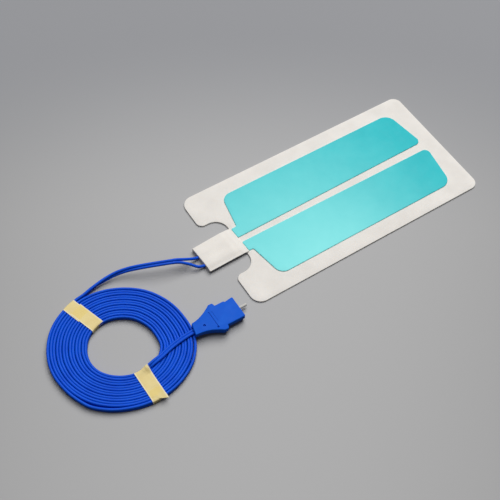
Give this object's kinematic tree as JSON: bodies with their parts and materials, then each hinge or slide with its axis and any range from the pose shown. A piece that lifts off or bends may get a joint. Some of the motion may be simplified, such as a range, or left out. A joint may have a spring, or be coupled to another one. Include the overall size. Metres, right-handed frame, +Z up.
{
  "type": "electrosurgical return electrode",
  "caption": "Split return electrode: white foam pad with teal gel zones, foam-covered crimp joint, coiled and taped blue twin lead, and blue plug with a centre pin.",
  "frame": {"origin": "on the floor under the middle of the pad and its lead clamp, measured without the free lead, coil and plug", "axes": "+X along the pad away from the lead clamp, +Y to the pad's left, +Z up, gel side up"},
  "size_m": [0.3523, 0.1353, 0.0106],
  "materials": {
    "foam": "white closed-cell foam, matt, fine pores",
    "cover_foam": "white foam patch, matt",
    "foil": "rolled foil, satin",
    "gel": "teal hydrogel, slightly glossy, faintly mottled",
    "insulation": "royal blue cable insulation, soft sheen",
    "tape": "cream crepe paper tape, matt",
    "plug_body": "blue moulded plastic, fine satin",
    "terminal": "tinned, satin",
    "nylon": "natural milky nylon, satin"
  },
  "bodies": {
    "root": {"foam_backing": "foam", "clamp_cover_top": "cover_foam", "clamp_cover_base": "cover_foam", "foil_left": "foil", "foil_right": "foil", "gel_left": "gel", "gel_right": "gel", "lead_coil": "insulation", "lead_tail": "insulation", "lead_crossing": "insulation", "lead_strand_left": "insulation", "lead_strand_right": "insulation", "plug_strand_left": "insulation", "plug_strand_right": "insulation", "tie_upper": "tape", "tie_lower": "tape", "plug_shell_upper": "plug_body", "plug_shell_lower": "plug_body", "clamp_terminal_left": "terminal", "clamp_terminal_right": "terminal", "plug_contact_left": "terminal", "plug_contact_right": "terminal", "plug_pin": "nylon"}
  },
  "joints": []
}
